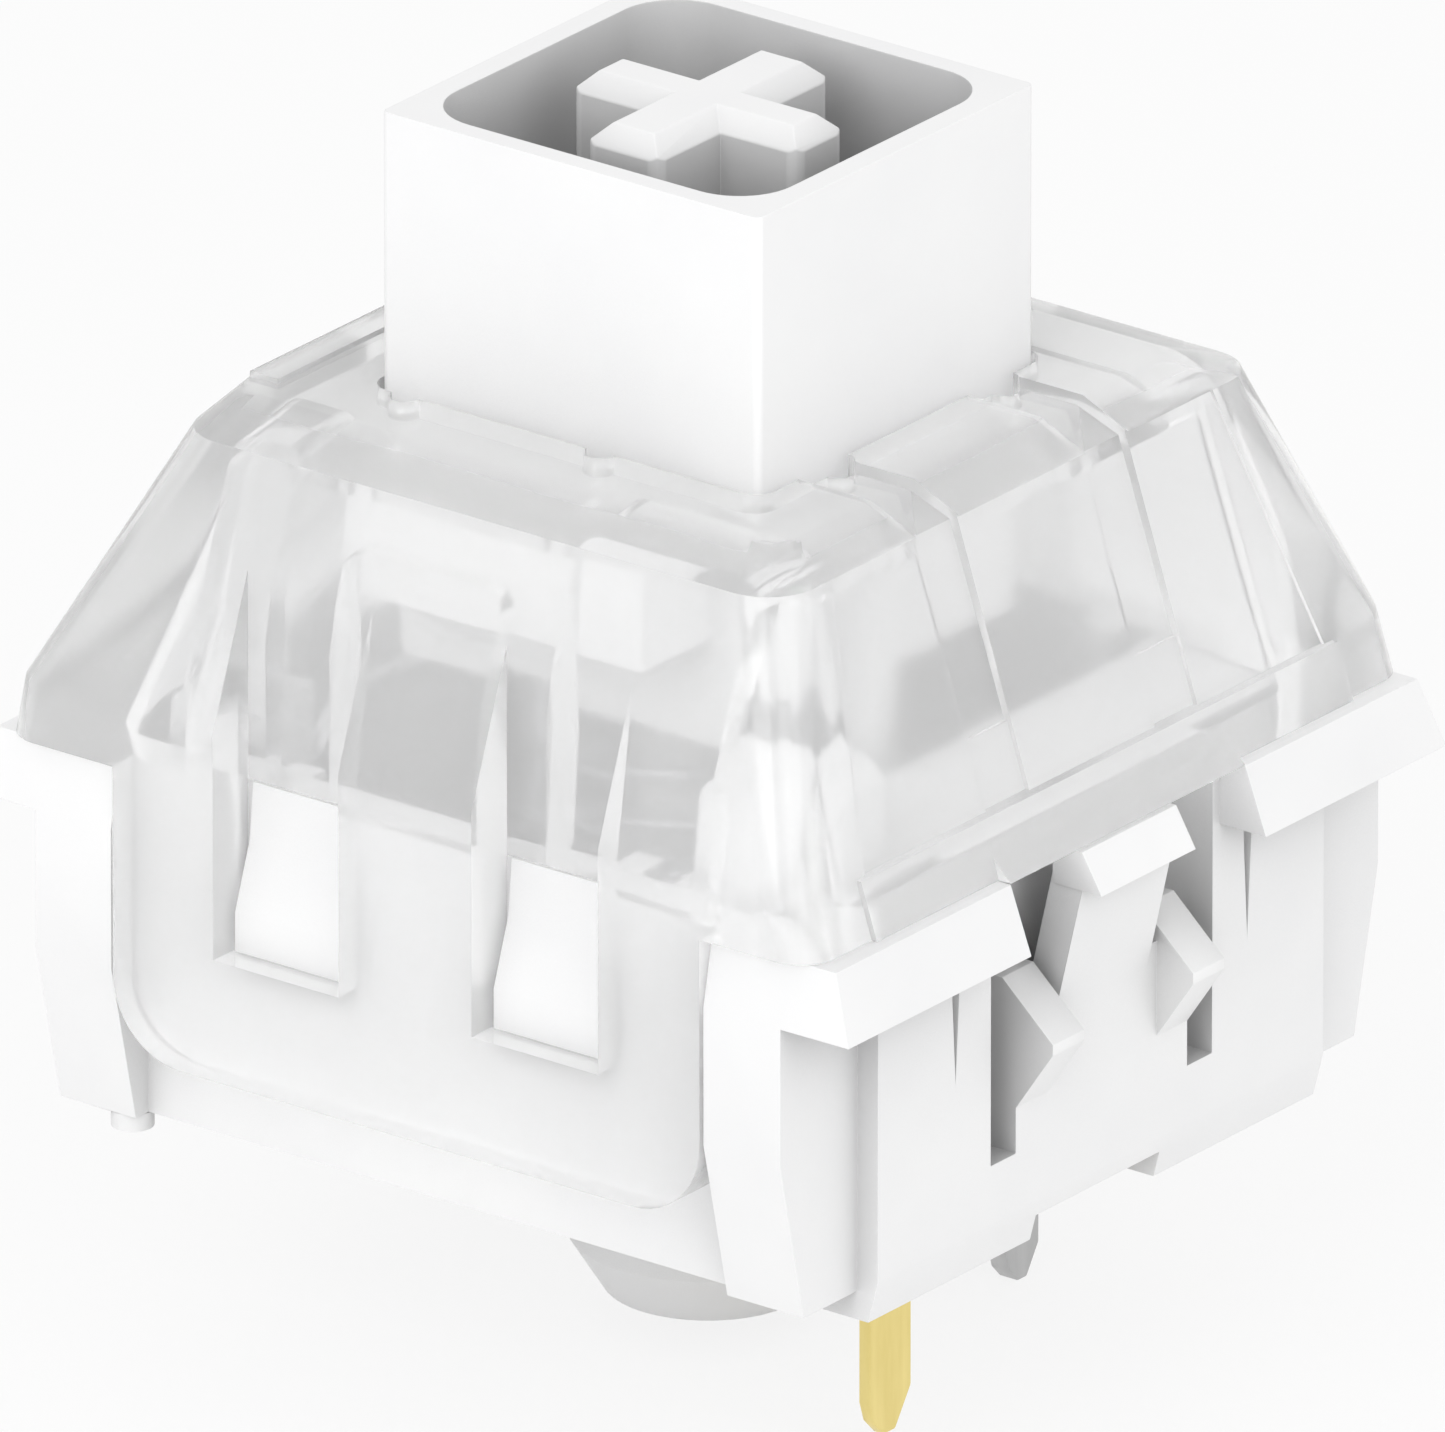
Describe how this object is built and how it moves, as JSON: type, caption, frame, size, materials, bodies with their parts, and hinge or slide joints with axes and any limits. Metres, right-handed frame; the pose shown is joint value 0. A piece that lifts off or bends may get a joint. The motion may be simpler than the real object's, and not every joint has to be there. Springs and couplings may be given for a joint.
{
  "type": "mechanical keyboard switch",
  "caption": "Plate-mounted mechanical key switch with a boxed cross stem, clear hooked-on top housing, return spring, click bar and a closed contact chamber.",
  "frame": {"origin": "the axis of the centre post on the face of the circuit board", "axes": "+Z along the stem, away from the board; +Y towards the side of the solder pins; +X to the side wall on the right of the pins' side, seen from above with +Y up"},
  "size_m": [0.014, 0.0156, 0.0187],
  "materials": {
    "housing_plastic": "satin white moulding",
    "clear_plastic": "frosted clear moulding",
    "stem_plastic": "satin white moulding",
    "spring_steel": "bright drawn wire",
    "click_wire": "bright drawn wire",
    "cover_plastic": "satin white moulding",
    "slider_plastic": "satin green moulding",
    "leaf_bronze": "rolled strip",
    "contact_gold": "gold face",
    "tinned_metal": "stamped strip, tinned",
    "gold_plate": "stamped strip, gold plated"
  },
  "bodies": {
    "housing": {"bottom_housing": "housing_plastic", "top_housing": "clear_plastic", "contact_cover": "cover_plastic", "fixed_terminal": "gold_plate", "fixed_contact": "contact_gold", "moving_terminal": "tinned_metal", "return_spring": "spring_steel"},
    "stem": {"stem": "stem_plastic"},
    "slider": {"contact_slider": "slider_plastic"},
    "leaf": {"contact_leaf": "leaf_bronze", "moving_contact": "contact_gold"},
    "click_bar": {"click_bar": "click_wire"}
  },
  "joints": [
    {"name": "stem_press", "type": "slide", "parent": "housing", "child": "stem", "axis": [0, 0, -1], "range_m": [0, 0.0036], "stiffness_N_per_m": 97, "springref_m": -0.003, "deforming": ["return_spring"]},
    {"name": "slider_push", "type": "slide", "parent": "housing", "child": "slider", "axis": [0, 1, 0], "range_m": [0, 0.000361]},
    {"name": "leaf_bend", "type": "hinge", "parent": "housing", "child": "leaf", "pos_m": [-0.0039, 0.0043, 0.005], "axis": [0, 0, 1], "range_deg": [0, 4.31]},
    {"name": "click_bar_swing", "type": "hinge", "parent": "housing", "child": "click_bar", "pos_m": [0, -0.0046, 0.002], "axis": [1, 0, 0], "range_deg": [0, 6], "stiffness_Nm_per_rad": 0.002, "springref_deg": -2.86}
  ],
  "couplings": [
    {"joint": "slider_push", "follows": "stem_press", "ratio": 0.1},
    {"joint": "leaf_bend", "follows": "stem_press", "rad_per_m": 20.833}
  ]
}
